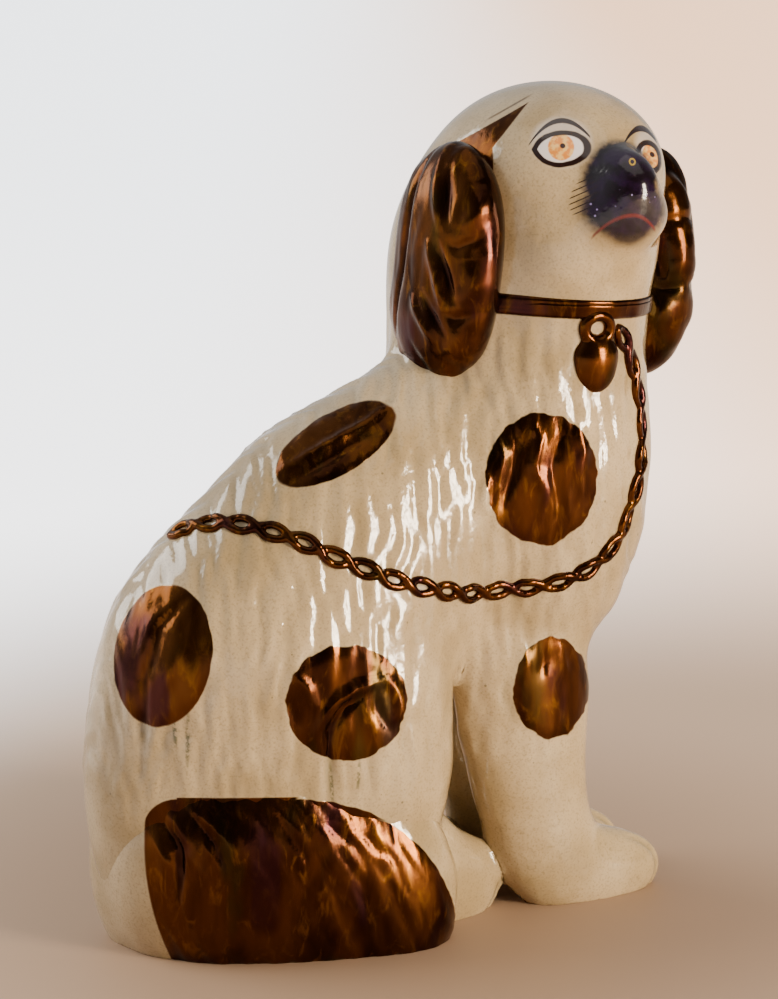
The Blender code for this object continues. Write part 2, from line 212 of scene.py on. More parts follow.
def one_skin(piece, grain):
    """Wraps overlapping shapes in one skin, with faces of the given grain in mm."""
    remesh = piece.modifiers.new("one_skin", "REMESH")
    remesh.mode = "VOXEL"
    remesh.voxel_size = grain * MM


def modelled(name, groups, blend, grain):
    """One closed skin over groups of lumps, settled onto the surface where the lumps blend."""
    settling_rounds, longest_step, least_steepness = 5, 3, 0.3
    ball = bmesh.new()
    bmesh.ops.create_uvsphere(ball, u_segments=48, v_segments=32, radius=1.0)
    unit_ball = closed(ball, "ball")
    shape = bmesh.new()
    for lumps, _ in groups:
        for centre, sizes, turned in lumps:
            stretched = unit_ball.copy()
            stretched.transform(
                Matrix.Translation(STANCE) @ Matrix.Scale(MM, 4) @ Matrix.Translation(centre)
                @ turned.to_4x4() @ Matrix.Diagonal((*sizes, 1.0)))
            shape.from_mesh(stretched)
            bpy.data.meshes.remove(stretched)
    piece = in_scene(name, closed(shape, name))
    one_skin(piece, grain)
    apply_modifiers(piece)
    points = to_stance(points_of(piece.data))
    for _ in range(settling_rounds):
        height, slope = height_of_groups(points, groups, blend)
        steepness = np.maximum((slope ** 2).sum(axis=1), least_steepness)
        points = points - slope * (np.clip(height, -longest_step, longest_step) / steepness)[:, None]
    set_points(piece.data, from_stance(points))
    piece.data.shade_smooth()
    return piece


def stand_on_table(piece):
    """Cuts a piece off level with the table and closes it with a flat underside."""
    shape = bmesh.new()
    shape.from_mesh(piece.data)
    everything = shape.verts[:] + shape.edges[:] + shape.faces[:]
    cut = bmesh.ops.bisect_plane(
        shape, geom=everything, dist=1e-7, plane_co=(0, 0, 0), plane_no=(0, 0, -1), clear_outer=True)
    rim = [part for part in cut["geom_cut"] if isinstance(part, bmesh.types.BMEdge)]
    bmesh.ops.holes_fill(shape, edges=rim, sides=0)
    bmesh.ops.triangulate(shape, faces=[face for face in shape.faces if len(face.verts) > 4])
    for face in shape.faces:
        face.smooth = abs(face.normal.z) < 0.999
    shape.to_mesh(piece.data)
    shape.free()


def sway(values, pace, seed):
    """A slow, smooth wander between -1 and 1."""
    return (np.sin(values / pace + seed) + 0.6 * np.sin(values / pace * 1.73 + seed * 2.3)
            + 0.4 * np.sin(values / pace * 2.9 + seed * 4.1)) / 2.0


# The painter works on the near side as on a flat sheet: ALONG runs to the right and ABOVE runs up, in mm.
ALONG = np.array((0.900, -0.435, 0.0))
ABOVE = np.array((0.099, 0.206, 0.974))
PATCHES = {  # centre along and above, half-sizes, turn in degrees
    "haunch": ((-66.5, 105.2), (18.6, 26.6), -9),
    "thigh": ((1.6, 87.3), (22.4, 21.6), 0),
    "shoulder": ((75.2, 171.0), (21.4, 24.8), 0),
    "leg": ((80.6, 90.0), (15.0, 19.6), 0),
    "back": ((-2.6, 184.0), (25.2, 11.6), 31),
}
COAT_GROOVES = [  # partings pressed deeper than the rest: stops, width, height
    ([(-57, 127), (-67, 116), (-70, 106), (-73, 97), (-74, 80), (-73, 70)], 2.2, -1.7),
    ([(-61, 127), (-71, 117), (-74, 106), (-77, 96)], 2.0, 0.8),
    ([(-60, 112), (-62, 102), (-66, 92)], 3.0, 0.8),
    ([(7, 90), (0, 86), (-4, 78), (-5, 66), (-5, 52)], 1.9, -1.9),
    ([(16, 96), (6, 93), (-2, 88), (-8, 79), (-12, 70)], 2.2, 1.3),
    ([(-18, 99), (-13, 93), (-9, 84)], 2.2, 1.0),
    ([(-20, 90), (-17, 83), (-16, 76)], 1.8, -1.0),
    ([(15, 98), (20, 92), (22, 84), (18, 79)], 1.8, 1.1),
    ([(11, 92), (13, 84), (18, 76)], 1.7, -1.1),
    ([(-24, 173), (-8, 182), (8, 191), (20, 200)], 1.7, 1.8),
    ([(-22, 168), (-5, 178), (9, 186)], 1.8, -1.1),
    ([(56, 190), (60, 180), (58, 168)], 1.9, 1.3),
    ([(62, 195), (66, 184), (64, 172), (60, 160)], 1.7, -1.2),
    ([(70, 195), (74, 186), (72, 176), (76, 166), (74, 150)], 1.8, 1.4),
    ([(80, 197), (82, 187), (79, 176), (82, 160), (78, 140)], 1.6, -1.3),
    ([(88, 193), (91, 182), (88, 170)], 1.9, 1.2),
    ([(56, 176), (53, 164), (56, 154)], 1.7, 1.0),
    ([(68, 108), (70, 100), (69, 92)], 1.6, 0.8),
    ([(75, 110), (77, 101), (76, 94)], 1.5, -0.9),
    ([(84, 110), (84, 102), (86, 94)], 1.6, 0.8),
    ([(64, 98), (62, 88), (66, 76)], 1.6, -0.8),
]


def stroke(flat, stops, width, height):
    """The relief that one drag of a tool leaves along its stops, fading out at both ends."""
    best = np.full(len(flat), 1e9)
    share = np.zeros(len(flat))
    count = len(stops) - 1
    for index in range(count):
        start, finish = np.array(stops[index], float), np.array(stops[index + 1], float)
        span = finish - start
        run = np.clip(((flat - start) @ span) / (span @ span), 0, 1)
        gap = np.linalg.norm(flat - start - run[:, None] * span, axis=1)
        nearer = gap < best
        best[nearer] = gap[nearer]
        share[nearer] = ((index + run) / count)[nearer]
    taper = np.sin(np.clip(share, 0.04, 0.96) * math.pi) ** 0.6
    return height * taper * np.exp(-(best / (width * (0.55 + 0.45 * taper))) ** 2)


def within(values, low, high, soft):
    """1 between two limits and 0 outside them, with soft shoulders."""
    rise = np.clip((values - low) / soft + 0.5, 0, 1)
    fall = np.clip((high - values) / soft + 0.5, 0, 1)
    return rise * rise * (3 - 2 * rise) * fall * fall * (3 - 2 * fall)


def locks(flat, wavelength, seed):
    """Irregular locks of hair hanging down the sheet, each swinging and fading on its own, from -1 to 1."""
    across, up = flat[:, 0], flat[:, 1]
    swing = 3.4 * sway(up + 0.3 * across, 14.0, seed) + 1.3 * sway(up - 0.5 * across, 8.5, seed + 1.7)
    phase = (across + swing) / wavelength * 2 * math.pi + 1.6 * sway(up - across, 31.0, seed + 3.0)
    strength = 0.50 + 0.50 * sway(up * 1.2 + across * 1.9, 12.0, seed + 5.0)
    return strength * np.cos(phase)


def near_flat(points):
    """Both flanks laid on the painter's sheet, as (along, above)."""
    folded = points * np.array((1.0, 0.0, 1.0)) - np.abs(points[:, 1:2]) * np.array((0.0, 1.0, 0.0))
    return np.column_stack((folded @ ALONG, folded @ ABOVE))


def coat_relief(points):
    """How far the combed coat stands proud or lies deep, in mm."""
    flat = near_flat(points)
    coat = within(points[:, 2], 62, 236, 34) * within(points[:, 0], -120, 150, 20)
    on_leg = within(points[:, 0], 50, 150, 14) * within(points[:, 2], -20, 112, 30)
    relief = 0.55 * locks(flat, 11.5, 0.6) + 0.40 * locks(flat, 7.1, 4.2) + 0.24 * locks(flat, 4.7, 2.1)
    relief = relief * coat * (1 - 0.65 * on_leg)
    for centre, half, turn in PATCHES.values():
        angle = math.radians(turn)
        turned = (flat - np.array(centre)) @ np.array(
            ((math.cos(angle), -math.sin(angle)), (math.sin(angle), math.cos(angle))))
        inside = within(np.linalg.norm(turned / np.array(half), axis=1), -1, 0.95, 0.3)
        relief *= 1 - 0.55 * inside
        relief += inside * 0.5
    for stops, width, height in COAT_GROOVES:
        relief += stroke(flat, stops, width, height)
    return relief


def toes(points):
    """The partings between the toes of each paw."""
    toe_width, depth, half_width = 5.2, 1.1, 1.1
    relief = np.zeros(len(points))
    for start, length, out in ((112, 26, 17), (40, 20, 14)):
        on_toes = within(points[:, 0], start, start + length, 8) * within(points[:, 2], -4, 22, 8)
        for side in (-1, 1):
            for step in (-1, 0, 1):
                middle = side * out + step * toe_width
                relief -= depth * on_toes * np.exp(-((points[:, 1] - middle) / half_width) ** 2)
    return relief


def press(piece, relief_at):
    """Presses a relief into a piece, and keeps how deep each spot lies for the glaze, up to 2 mm."""
    mesh = piece.data
    points = to_stance(points_of(mesh))
    relief = relief_at(points)
    deep = mesh.attributes.new("hollow", "FLOAT", "POINT")
    deep.data.foreach_set("value", np.clip(-relief, -2, 2).astype(np.float32))
    set_points(mesh, from_stance(points + points_of(mesh, "normal") * relief[:, None]))


skin = modelled("glazed_skin", [(TRUNK, 5.5), (FACE, 4.5), (foreleg(-1), 5.5), (foreleg(1), 5.5),
                                (hind_foot(-1), 5.5), (hind_foot(1), 5.5)], 2.6, 1.6)
press(skin, lambda points: coat_relief(points) + toes(points))
stand_on_table(skin)
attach(skin, "root")
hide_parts("body_right_half", "body_left_half", "right_foreleg", "left_foreleg",
            "right_hind_foot", "left_hind_foot")


# The glaze is a thick, yellowish lead glaze, crazed and specked, greenish where it pools, and painted darker
# in its partings as shade. The lustre is a thin copper film, fired on in patches. The face is drawn in enamel
# with a fine brush.
def value(tree, operation, *inputs, clamp=False):
    """A Math node; each input is a number or another node's output."""
    node = tree.nodes.new("ShaderNodeMath")
    node.operation = operation
    node.use_clamp = clamp
    for socket, given in zip(node.inputs, inputs):
        if isinstance(given, (int, float)):
            socket.default_value = given
        else:
            tree.links.new(given, socket)
    return node.outputs[0]


def times(tree, first, second):
    return value(tree, "MULTIPLY", first, second)


def minus(tree, first, second):
    return value(tree, "SUBTRACT", first, second)


def vector(tree, operation, *inputs, output="Vector"):
    """A Vector Math node, in the same way."""
    node = tree.nodes.new("ShaderNodeVectorMath")
    node.operation = operation
    for socket, given in zip([node.inputs[0], node.inputs[1]], inputs):
        if isinstance(given, (tuple, Vector, np.ndarray)):
            socket.default_value = tuple(given)
        else:
            tree.links.new(given, socket)
    return node.outputs[output]


def ramp(tree, given, low, high, to_low=0.0, to_high=1.0):
    """A smooth step from one value to another."""
    node = tree.nodes.new("ShaderNodeMapRange")
    node.interpolation_type = "SMOOTHSTEP"
    tree.links.new(given, node.inputs["Value"])
    for socket, number in (("From Min", low), ("From Max", high), ("To Min", to_low), ("To Max", to_high)):
        node.inputs[socket].default_value = number
    return node.outputs["Result"]


def mixed(tree, share, under, over):
    """One colour over another; share is a number or a mask."""
    node = tree.nodes.new("ShaderNodeMix")
    node.data_type = "RGBA"
    for socket, given in ((node.inputs[0], share), (node.inputs[6], under), (node.inputs[7], over)):
        if isinstance(given, (int, float)):
            socket.default_value = given
        elif isinstance(given, tuple):
            socket.default_value = (*given, 1.0)
        else:
            tree.links.new(given, socket)
    return node.outputs[2]


def noise(tree, place, scale, detail=3.0, roughness=0.5, distortion=0.0):
    node = tree.nodes.new("ShaderNodeTexNoise")
    tree.links.new(place, node.inputs["Vector"])
    node.inputs["Scale"].default_value = scale
    node.inputs["Detail"].default_value = detail
    node.inputs["Roughness"].default_value = roughness
    node.inputs["Distortion"].default_value = distortion
    return node.outputs["Fac"]


def new_material(name):
    """A material with its tree and its shader."""
    material = bpy.data.materials.new(name)
    material.use_nodes = True
    return material, material.node_tree, material.node_tree.nodes["Principled BSDF"]


def new_group(name, inputs, outputs):
    """An empty node group with its sockets; returns the group and its two ends."""
    group = bpy.data.node_groups.new(name, "ShaderNodeTree")
    for label, kind, start in inputs:
        socket = group.interface.new_socket(label, in_out="INPUT", socket_type="NodeSocket" + kind)
        if start is not None:
            socket.default_value = start
    for label, kind in outputs:
        group.interface.new_socket(label, in_out="OUTPUT", socket_type="NodeSocket" + kind)
    return group, group.nodes.new("NodeGroupInput").outputs, group.nodes.new("NodeGroupOutput").inputs


def placed(tree, group, **settings):
    """The group's node in a tree; a setting is a number, a tuple or another node's output."""
    node = tree.nodes.new("ShaderNodeGroup")
    node.node_tree = group
    for label, given in settings.items():
        socket = node.inputs[label.replace("_", " ")]
        if isinstance(given, (int, float, tuple)):
            socket.default_value = given
        else:
            tree.links.new(given, socket)
    return node.outputs


FILM_OUTPUTS = [("Colour", "Color"), ("Height", "Float"), ("Roughness", "Float")]
FAR_PATCH_SHIFT = 15.0  # the far flank's patches sit further forward


def make_sheet_group():
    """Where a spot lies on the painter's sheet, on both flanks and on the head, in mm."""
    group, _, ends = new_group("painters_sheet", [], [
        ("Flank", "Vector"), ("Head", "Vector"), ("Ahead", "Float"), ("Aside", "Float"), ("Near", "Float"),
        ("Out", "Float"),
        ("Place", "Vector")])
    spot = group.nodes.new("ShaderNodeTexCoord").outputs["Object"]
    place = vector(group, "MULTIPLY", vector(group, "SUBTRACT", spot, STANCE), (1 / MM, 1 / MM, 1 / MM))
    parts = group.nodes.new("ShaderNodeSeparateXYZ")
    group.links.new(place, parts.inputs[0])
    fold = group.nodes.new("ShaderNodeCombineXYZ")
    out = value(group, "ABSOLUTE", parts.outputs["Y"])
    group.links.new(out, ends["Out"])
    group.links.new(times(group, out, -1.0), fold.inputs["Y"])
    group.links.new(parts.outputs["Z"], fold.inputs["Z"])
    far_side = times(group, ramp(group, parts.outputs["Y"], 0.0, 6.0), FAR_PATCH_SHIFT)
    shifted = group.nodes.new("ShaderNodeCombineXYZ")
    group.links.new(minus(group, parts.outputs["X"], far_side), shifted.inputs["X"])
    flank = vector(group, "ADD", fold.outputs[0], shifted.outputs[0])
    for label, source in (("Flank", flank), ("Head", place)):
        flat = group.nodes.new("ShaderNodeCombineXYZ")
        for axis, way in (("X", ALONG), ("Y", ABOVE)):
            group.links.new(vector(group, "DOT_PRODUCT", source, way, output="Value"), flat.inputs[axis])
        group.links.new(flat.outputs[0], ends[label])
    from_axis = vector(group, "SUBTRACT", place, HEAD_AXIS)
    group.links.new(vector(group, "DOT_PRODUCT", from_axis, FACING, output="Value"), ends["Ahead"])
    group.links.new(vector(group, "DOT_PRODUCT", from_axis, HEAD_LEFT, output="Value"), ends["Aside"])
    group.links.new(ramp(group, parts.outputs["Y"], 1.0, -1.0), ends["Near"])
    group.links.new(place, ends["Place"])
    return group


def make_spot_group():
    """How many mm a spot of the sheet lies beyond the edge of a brushed oval; less than 0 inside it."""
    group, starts, ends = new_group("brushed_spot", [
        ("Sheet", "Vector", None), ("Centre", "Vector", (0, 0, 0)), ("Half", "Vector", (1, 1, 1)),
        ("Turn", "Float", 0.0), ("Wobble", "Float", 0.0)], [("Beyond", "Float")])
    shifted = vector(group, "SUBTRACT", starts["Sheet"], starts["Centre"])
    turned = group.nodes.new("ShaderNodeVectorRotate")
    turned.rotation_type = "Z_AXIS"
    group.links.new(shifted, turned.inputs["Vector"])
    group.links.new(times(group, starts["Turn"], -math.pi / 180), turned.inputs["Angle"])
    scaled = vector(group, "DIVIDE", turned.outputs[0], starts["Half"])
    away = vector(group, "LENGTH", scaled, output="Value")
    halves = group.nodes.new("ShaderNodeSeparateXYZ")
    group.links.new(starts["Half"], halves.inputs[0])
    least = value(group, "MINIMUM", halves.outputs["X"], halves.outputs["Y"])
    beyond = times(group, minus(group, away, 1.0), least)
    waves = minus(group, noise(group, starts["Sheet"], 0.16, 1.5), 0.5)
    group.links.new(value(group, "MULTIPLY_ADD", waves, starts["Wobble"], beyond), ends["Beyond"])
    return group


def make_glaze_group():
    """The bare glaze: cream, mottled, specked, and darker greenish grey in the partings, partly where it
    pools and partly as painted shade.
    """
    group, starts, ends = new_group(
        "cream_glaze_film", [("Place", "Vector", None), ("Hollow", "Float", 0.0)], FILM_OUTPUTS)
    place = starts["Place"]
    cloud = noise(group, place, 0.035, 3.0)
    colour = mixed(group, ramp(group, cloud, 0.35, 0.68), (0.47, 0.355, 0.205), (0.34, 0.245, 0.12))
    # Painted shade mixed with pooling: the partings are painted darker greenish grey by how deep they lie.
    pooled_and_shaded = ramp(group, starts["Hollow"], 0.0, 1.4)
    colour = mixed(group, times(group, pooled_and_shaded, 0.6), colour, (0.20, 0.155, 0.07))
    worn = ramp(group, starts["Hollow"], -0.3, -1.4)
    colour = mixed(group, times(group, worn, 0.35), colour, (0.62, 0.50, 0.33))
    grit = noise(group, place, 1.1, 2.0)
    colour = mixed(group, ramp(group, grit, 0.45, 0.78, 0.0, 0.55), colour, (0.21, 0.155, 0.075))
    specks = group.nodes.new("ShaderNodeTexVoronoi")
    specks.inputs["Scale"].default_value = 0.085
    specks.inputs["Randomness"].default_value = 1.0
    group.links.new(place, specks.inputs["Vector"])
    dots = ramp(group, specks.outputs["Distance"], 0.052, 0.030, 0.0, 0.75)
    colour = mixed(group, dots, colour, (0.13, 0.10, 0.05))
    cracks = group.nodes.new("ShaderNodeTexVoronoi")
    cracks.feature = "DISTANCE_TO_EDGE"
    cracks.inputs["Scale"].default_value = 0.24
    group.links.new(place, cracks.inputs["Vector"])
    lines = ramp(group, cracks.outputs["Distance"], 0.025, 0.0)
    group.links.new(mixed(group, times(group, lines, 0.13), colour, (0.33, 0.26, 0.16)), ends["Colour"])
    waves = times(group, noise(group, place, 0.17, 2.0), 0.50)
    ripples = times(group, noise(group, place, 0.6, 2.0), 0.06)
    group.links.new(value(group, "ADD", waves, ripples), ends["Height"])
    group.links.new(ramp(group, cloud, 0.3, 0.7, 0.10, 0.20), ends["Roughness"])
    return group


def make_lustre_group():
    """The copper film: brown, with orange, violet and green where it is thicker or thinner."""
    group, starts, ends = new_group("copper_film", [("Place", "Vector", None)], FILM_OUTPUTS)
    brushed_downwards = (1.0, 1.0, 0.35)
    drawn = vector(group, "MULTIPLY", starts["Place"], brushed_downwards)
    broad = noise(group, drawn, 0.055, 3.0, distortion=0.6)
    fine = noise(group, drawn, 0.22, 4.0, 0.6, 0.8)
    colour = mixed(group, ramp(group, broad, 0.36, 0.62), (0.030, 0.009, 0.003), (0.092, 0.030, 0.006))
    colour = mixed(group, ramp(group, fine, 0.52, 0.76, 0.0, 0.65), colour, (0.22, 0.088, 0.010))
    violet = noise(group, vector(group, "ADD", drawn, (31.0, 17.0, 5.0)), 0.06, 2.0)
    colour = mixed(group, ramp(group, violet, 0.54, 0.70, 0.0, 0.7), colour, (0.026, 0.006, 0.012))
    green = noise(group, vector(group, "ADD", drawn, (-13.0, 41.0, 9.0)), 0.07, 2.0)
    colour = mixed(group, ramp(group, green, 0.58, 0.74, 0.0, 0.6), colour, (0.034, 0.026, 0.006))
    group.links.new(colour, ends["Colour"])
    waves = times(group, noise(group, drawn, 0.11, 2.0), 0.5)
    ripples = times(group, fine, 0.12)
    group.links.new(value(group, "ADD", waves, ripples), ends["Height"])
    group.links.new(ramp(group, fine, 0.3, 0.7, 0.13, 0.24), ends["Roughness"])
    return group


def along_and_above(tree, place):
    """The two coordinates of a place on the painter's sheet."""
    parts = tree.nodes.new("ShaderNodeSeparateXYZ")
    tree.links.new(place, parts.inputs[0])
    return parts.outputs["X"], parts.outputs["Y"]


SHEET_GROUP = make_sheet_group()
SPOT_GROUP = make_spot_group()
GLAZE_GROUP = make_glaze_group()
LUSTRE_GROUP = make_lustre_group()


def oval(tree, sheet, centre, half, turn=0.0, wobble=0.0):
    return placed(tree, SPOT_GROUP, Sheet=sheet, Centre=(*centre, 0.0), Half=(*half, 1.0), Turn=float(turn),
                  Wobble=float(wobble))["Beyond"]


def filled(tree, beyond, soft=0.35):
    return ramp(tree, beyond, soft, -soft)


def brushed_line(tree, beyond, thickness, soft=0.22):
    return ramp(tree, value(tree, "ABSOLUTE", beyond), thickness / 2 + soft, thickness / 2 - soft)


def both(tree, *masks):
    result = masks[0]
    for mask in masks[1:]:
        result = times(tree, result, mask)
    return result


def either(tree, *masks):
    result = masks[0]
    for mask in masks[1:]:
        result = value(tree, "MAXIMUM", result, mask)
    return result


def lustre_patches(tree, sheet):
    """The five brushed patches on each flank, with their scalloped edges."""
    masks = []
    for name, (centre, half, turn) in PATCHES.items():
        wobble = 0.9 if name in ("haunch", "back") else 3.2
        patch = filled(tree, oval(tree, sheet["Flank"], centre, half, turn, wobble), 0.3)
        if name == "leg":                             # it stays on the outer side of the leg
            patch = both(tree, patch, ramp(tree, sheet["Out"], 12.0, 13.5))
        masks.append(patch)
    return either(tree, *masks)


def tail_lustre(tree, sheet):
    """The lustre of the brush; it stops short of the root, which stays cream."""
    along, above = along_and_above(tree, sheet["Flank"])
    sag = times(tree, value(tree, "POWER", minus(tree, above, 34.0), 2.0), -0.0045)
    root = ramp(tree, value(tree, "ADD", along, sag), -74.6, -73.8)
    curve = filled(tree, oval(tree, sheet["Flank"], (-16.0, -7.0), (60.0, 58.0), 0, 1.5), 0.3)
    top = either(tree, curve, ramp(tree, along, -16.0, -18.0))
    level = ramp(tree, above, 52.4, 51.8)
    corner = filled(tree, oval(tree, sheet["Flank"], (-61.5, 39.5), (13.0, 12.0)), 0.3)
    corner = either(tree, corner, ramp(tree, along, -62.0, -61.5), ramp(tree, above, 39.5, 39.0))
    return both(tree, root, top, level, corner, sheet["Near"])


def eye_drawing(tree, head, colour, centre, half, turn, iris, iris_half, pupil, pupil_size, corner,
                brow, bend, brow_ends, brow_thickness):
    """One eye over a colour: a white, an orange iris with a dark pupil, a lid line and an arched brow."""
    along, above = along_and_above(tree, head)
    around = filled(tree, oval(tree, head, (centre[0], centre[1] + 2.5), (half[0] * 1.2, half[1] * 1.6)), 1.6)
    colour = mixed(tree, times(tree, around, 0.38), colour, (0.72, 0.68, 0.70))
    lid = oval(tree, head, (centre[0] + corner / 3, centre[1]), half, turn)
    reach = (half[0] ** 2 + half[1] ** 2) / (2 * half[1])
    upper = oval(tree, head, (centre[0] - corner, centre[1] - reach + half[1] - corner / 4), (reach, reach))
    lower = oval(tree, head, (centre[0] - corner, centre[1] + reach - half[1] - corner / 4), (reach, reach))
    lid = value(tree, "MINIMUM", lid, value(tree, "MAXIMUM", upper, lower))
    inside = filled(tree, lid, 0.2)
    colour = mixed(tree, inside, colour, (0.74, 0.68, 0.66))
    blotches = noise(tree, head, 0.5, 3.0)
    ginger = mixed(tree, ramp(tree, blotches, 0.42, 0.62), (0.66, 0.23, 0.035), (0.80, 0.50, 0.16))
    in_iris = both(tree, filled(tree, oval(tree, head, iris, iris_half), 0.25), inside)
    colour = mixed(tree, in_iris, colour, ginger)
    dot = filled(tree, oval(tree, head, pupil, (pupil_size, pupil_size), 0, 0.6), 0.2)
    colour = mixed(tree, dot, colour, (0.020, 0.005, 0.004))
    pressure = times(tree, minus(tree, noise(tree, head, 0.25, 1.0), 0.5), 0.5)
    line = brushed_line(tree, value(tree, "ADD", lid, pressure), 1.9, 0.25)
    colour = mixed(tree, line, colour, (0.012, 0.0035, 0.002))
    out = minus(tree, along, brow[0])
    arch = times(tree, value(tree, "POWER", out, 2.0), bend)
    off = value(tree, "ABSOLUTE", value(tree, "ADD", minus(tree, above, brow[1]), arch))
    far = value(tree, "POWER", value(tree, "DIVIDE", out, max(brow_ends)), 2.0)
    thin = value(tree, "MULTIPLY_ADD", far, -brow_thickness * 0.75, brow_thickness)
    thin = value(tree, "MAXIMUM", thin, 0.32)
    drawn = ramp(tree, minus(tree, off, thin), 0.25, -0.2)
    length = both(tree, ramp(tree, out, -brow_ends[0] - 0.4, -brow_ends[0] + 0.4),
                  ramp(tree, out, brow_ends[1] + 0.4, brow_ends[1] - 0.4))
    return mixed(tree, both(tree, drawn, length), colour, (0.012, 0.0035, 0.003))


def face_drawing(tree, sheet, colour):
    """The whole face in enamel, with a painted shadow under the mouth: returns the colour and the mask of the
    dark muzzle and that shadow.
    """
    head = sheet["Head"]
    along, above = along_and_above(tree, head)
    bare = colour
    facing = ramp(tree, sheet["Aside"], 22.0, 18.0)       # the muzzle's paint ends on its far side
    halo = either(tree, filled(tree, oval(tree, head, (104.0, 287.0), (14.0, 14.0)), 3.5),
                  filled(tree, oval(tree, head, (102.5, 271.0), (19.0, 14.0)), 4.0))
    colour = mixed(tree, both(tree, halo, facing, 0.42), colour, (0.33, 0.22, 0.08))
    colour = eye_drawing(tree, head, colour, (81.8, 294.2), (9.3, 6.1), 4, (81.5, 294.7), (4.9, 5.1),
                         (82.1, 295.2), 1.0, 1.0, (82.1, 305.2), 0.060, (12.6, 10.4), 1.05)
    colour = eye_drawing(tree, head, colour, (115.6, 292.6), (4.7, 5.8), 0, (116.2, 292.9), (3.5, 4.9),
                         (116.9, 293.8), 1.1, 0.0, (113.4, 304.0), 0.115, (8.2, 6.0), 1.35)
    feather = times(tree, minus(tree, noise(tree, head, 0.45, 3.0), 0.5), 2.4)
    nose = value(tree, "ADD", oval(tree, head, (104.6, 284.8), (13.4, 12.6), -38), feather)
    bridge = value(tree, "ADD", oval(tree, head, (103.6, 279.5), (15.2, 12.0), -30), feather)
    lips = value(tree, "ADD", oval(tree, head, (105.2, 271.8), (16.6, 11.0)), feather)
    muzzle = either(tree, ramp(tree, nose, 1.9, -1.9), ramp(tree, bridge, 2.0, -2.0),
                    ramp(tree, lips, 2.2, -2.2))
    muzzle = both(tree, muzzle, facing)
    # A painted shadow under the mouth, near black.
    under = both(tree, filled(tree, oval(tree, head, (106.5, 263.0), (8.4, 5.0), 4, 2.0), 2.0), facing)
    shades = ramp(tree, noise(tree, head, 0.16, 2.0), 0.40, 0.62)
    violet = mixed(tree, shades, (0.005, 0.002, 0.005), (0.012, 0.004, 0.020))
    colour = mixed(tree, times(tree, under, 0.9), colour, (0.010, 0.005, 0.009))
    colour = mixed(tree, muzzle, colour, violet)
    whisker_area = filled(tree, oval(tree, head, (89.6, 276.0), (4.6, 7.6), -24), 0.5)
    rows = times(tree, minus(tree, above, times(tree, along, 0.42)), math.pi / 2.2)
    hairs = ramp(tree, value(tree, "ABSOLUTE", value(tree, "SINE", rows)), 0.42, 0.20)
    colour = mixed(tree, both(tree, whisker_area, hairs), colour, (0.015, 0.006, 0.005))
    dots = tree.nodes.new("ShaderNodeTexVoronoi")
    dots.inputs["Scale"].default_value = 0.33
    tree.links.new(head, dots.inputs["Vector"])
    sprinkled = both(tree, ramp(tree, dots.outputs["Distance"], 0.17, 0.10),
                     filled(tree, oval(tree, head, (105.0, 271.5), (15.0, 6.0)), 1.0))
    colour = mixed(tree, times(tree, sprinkled, 0.75), colour, (0.36, 0.30, 0.62))
    out = minus(tree, along, 108.2)
    bent = times(tree, value(tree, "POWER", out, 2.0), ramp(tree, out, -3.0, 5.0, 0.033, 0.066))
    off = value(tree, "ADD", minus(tree, above, 268.6), bent)
    smile = both(tree, brushed_line(tree, off, 1.3, 0.5), ramp(tree, out, -16.0, -14.5),
                 ramp(tree, out, 9.0, 8.0))
    colour = mixed(tree, both(tree, smile, facing, 0.85), colour, (0.11, 0.010, 0.010))
    nostril = oval(tree, head, (107.6, 288.6), (1.0, 1.2))
    colour = mixed(tree, brushed_line(tree, nostril, 0.5, 0.2), colour, (0.42, 0.27, 0.02))
    front = ramp(tree, sheet["Ahead"], 12.0, 15.0)
    return mixed(tree, front, bare, colour), both(tree, either(tree, muzzle, under), front)


def ear_root_lustre(tree, sheet):
    """The wedge of lustre that runs from the top of the near ear to the crown."""
    along, above = along_and_above(tree, sheet["Head"])
    forward = minus(tree, times(tree, minus(tree, along, 70.0), 0.797),
                    times(tree, minus(tree, above, 313.3), 0.604))
    out = minus(tree, along, 51.4)
    top = value(tree, "ADD", times(tree, out, 0.50),
                times(tree, value(tree, "POWER", out, 2.0), 0.0035))
    over = minus(tree, minus(tree, above, 302.7), top)
    inner = either(tree, ramp(tree, forward, 0.3, -0.3), ramp(tree, along, 56.6, 56.0))
    wedge = both(tree, inner, ramp(tree, over, 0.3, -0.3), ramp(tree, above, 262.0, 266.0))
    strand = both(tree, brushed_line(tree, minus(tree, over, 2.6), 0.8, 0.3),
                  ramp(tree, along, 53.0, 57.0), ramp(tree, along, 73.0, 68.0))
    return both(tree, either(tree, wedge, times(tree, strand, 0.6)),
                ramp(tree, sheet["Aside"], 2.0, 0.0), ramp(tree, sheet["Ahead"], -17.0, -14.0))


def drips(tree, sheet):
    """Runs of green-black glaze under two of the patches."""
    masks = []
    for centre, half, turn in (((-62.0, 76.5), (0.8, 5.5), 3), ((-57.2, 74.0), (0.8, 9.5), -2),
                               ((-4.2, 56.5), (0.7, 7.0), 4), ((6.0, 60.0), (0.6, 5.5), -4)):
        masks.append(filled(tree, oval(tree, sheet["Flank"], centre, half, turn), 0.45))
    broken = ramp(tree, noise(tree, sheet["Place"], 0.5, 2.0), 0.36, 0.56)
    return both(tree, either(tree, *masks), broken)


